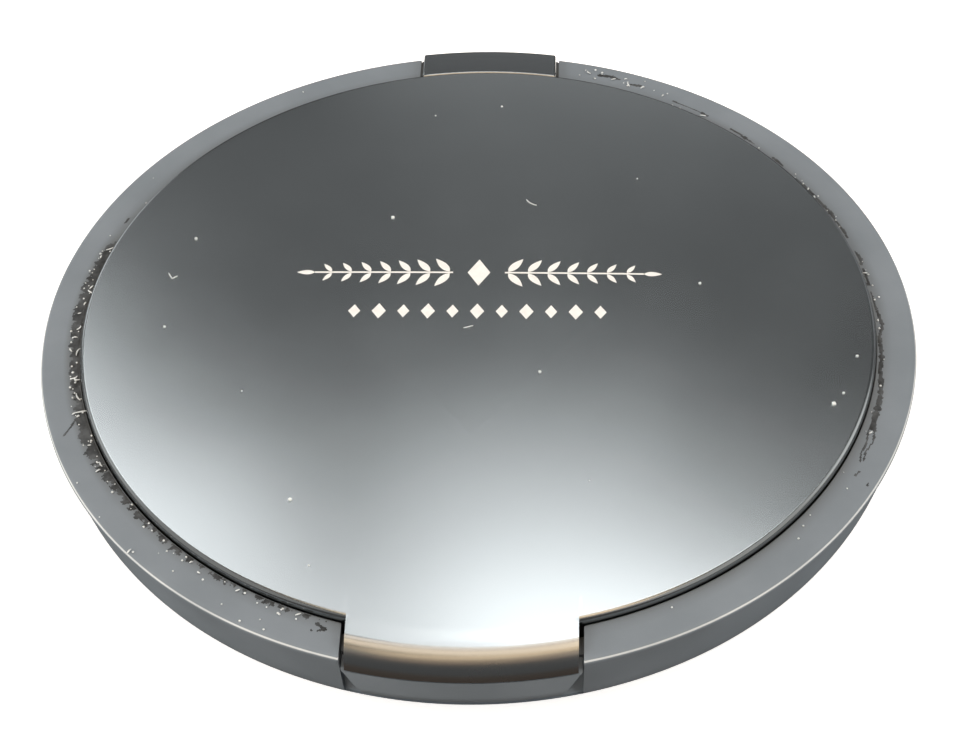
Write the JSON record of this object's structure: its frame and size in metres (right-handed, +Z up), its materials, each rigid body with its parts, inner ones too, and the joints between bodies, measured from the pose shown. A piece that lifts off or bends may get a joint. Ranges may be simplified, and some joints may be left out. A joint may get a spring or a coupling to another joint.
{
  "type": "pressed powder compact",
  "caption": "Round hinged makeup compact with an inset satin lid, front pull tongue, inner mirror and a pan of pressed highlighting powder.",
  "frame": {"origin": "centre of the underside's foot ring, on the surface the case rests on", "axes": "+Z up, -Y to the front where the lid's tongue is, +Y to the hinge, +X to the right seen from the front"},
  "size_m": [0.076, 0.0759, 0.0108],
  "materials": {
    "soft_touch_shell": "rubbery soft-touch coat, worn and flaking along the rim",
    "tray_plastic": "polished moulding",
    "adhesive_pad": "thin foam tape",
    "pan_metal": "drawn sheet, satin",
    "pressed_powder": "fine pressed powder with a soft shimmer",
    "blank_label": "matte, blank",
    "pin_steel": "ground",
    "lid_plastic": "semi-gloss moulding",
    "metallised_lid": "satin gunmetal metallising",
    "mirror_glass": "polished"
  },
  "bodies": {
    "base": {"base_shell": "soft_touch_shell", "base_tray": "tray_plastic", "pan_adhesive": "adhesive_pad", "powder_pan": "pan_metal", "powder_cake": "pressed_powder", "base_label": "blank_label", "hinge_pin": "pin_steel"},
    "lid": {"lid_body": "lid_plastic", "lid_plate": "metallised_lid", "mirror": "mirror_glass", "mirror_adhesive": "adhesive_pad"}
  },
  "joints": [
    {"name": "lid_hinge", "type": "hinge", "parent": "base", "child": "lid", "pos_m": [0, 0.0357, 0.0085], "axis": [-1, 0, 0], "range_deg": [0, 120]}
  ]
}
